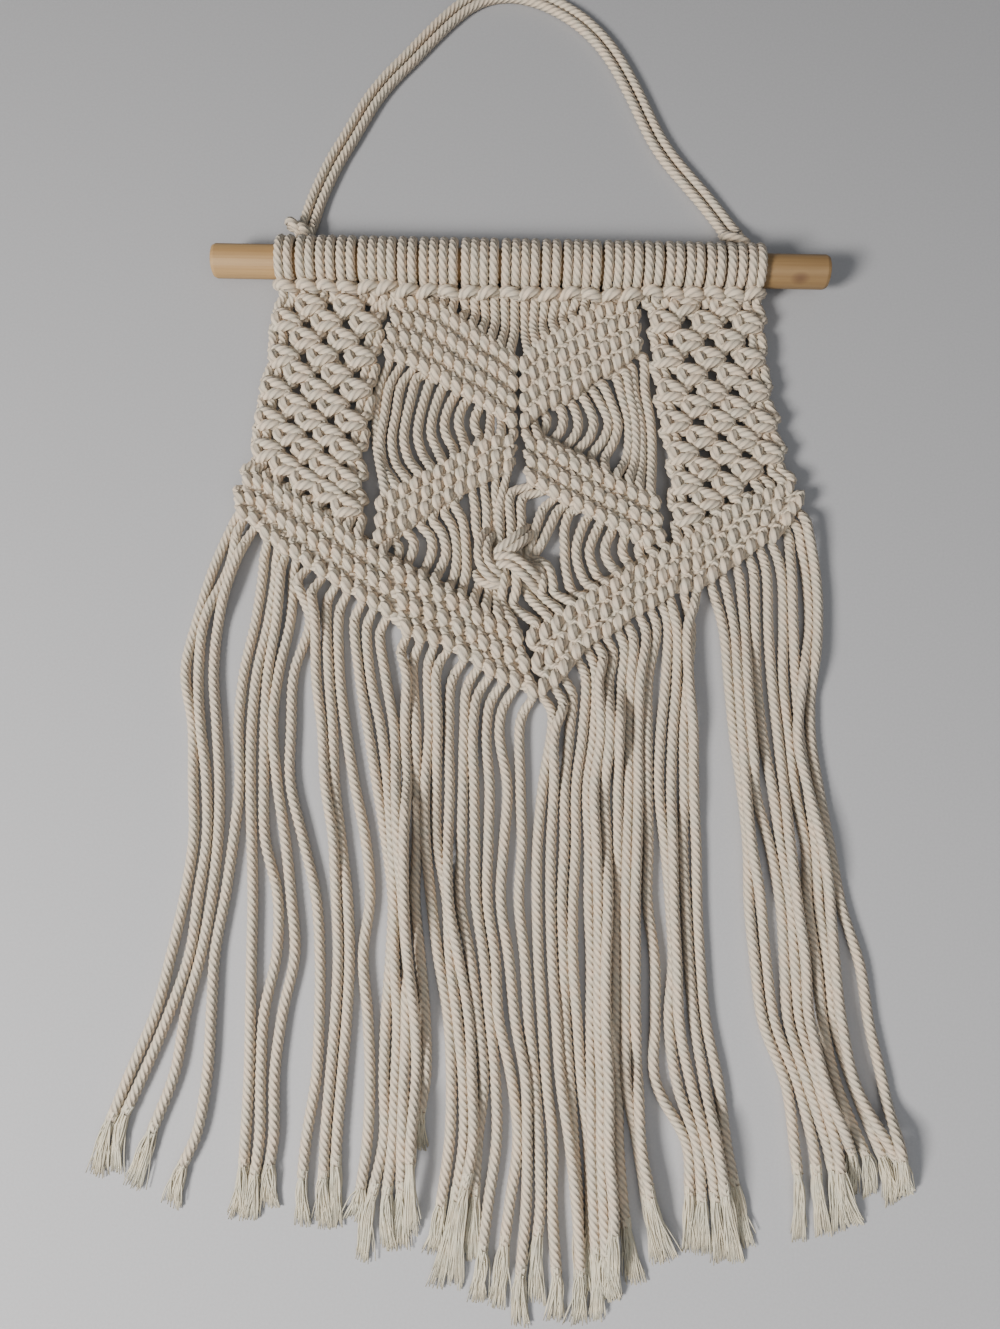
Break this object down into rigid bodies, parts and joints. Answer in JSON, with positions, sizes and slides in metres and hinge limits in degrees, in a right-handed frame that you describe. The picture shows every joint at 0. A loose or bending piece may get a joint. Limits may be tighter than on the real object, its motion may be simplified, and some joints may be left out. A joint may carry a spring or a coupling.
{
  "type": "knotted cotton wall hanging on a wooden dowel",
  "caption": "Macrame wall hanging lying flat: knotted cotton cord on a round wooden dowel, with side panels, crossing bands, a bottom border, a long frayed fringe and a doubled cord hanger.",
  "frame": {"origin": "middle of the pressed-flat underside of the wraps, under the middle of the dowel, on the surface the hanging lies on", "axes": "+X along the dowel to the viewer's right, +Y up the hanging towards its hanger, +Z out of its face, towards the viewer"},
  "size_m": [0.3487, 0.6365, 0.0253],
  "materials": {
    "cotton_cord": "matte twisted cotton, undyed",
    "bare_wood": "sanded, unfinished"
  },
  "bodies": {
    "root": {"dowel": "bare_wood", "heading": "cotton_cord", "side_panel_left": "cotton_cord", "side_panel_right": "cotton_cord", "top_strands": "cotton_cord", "upper_band_left": "cotton_cord", "upper_band_right": "cotton_cord", "eye_strands_left": "cotton_cord", "eye_strands_right": "cotton_cord", "lower_band_left": "cotton_cord", "lower_band_right": "cotton_cord", "diamond_strands_left": "cotton_cord", "diamond_strands_right": "cotton_cord", "gathered_knot": "cotton_cord", "bottom_border_left": "cotton_cord", "bottom_border_right": "cotton_cord", "fringe": "cotton_cord", "hanger_cord_outer": "cotton_cord", "hanger_cord_inner": "cotton_cord", "hanger_knot_left": "cotton_cord", "hanger_knot_right": "cotton_cord"}
  },
  "joints": []
}
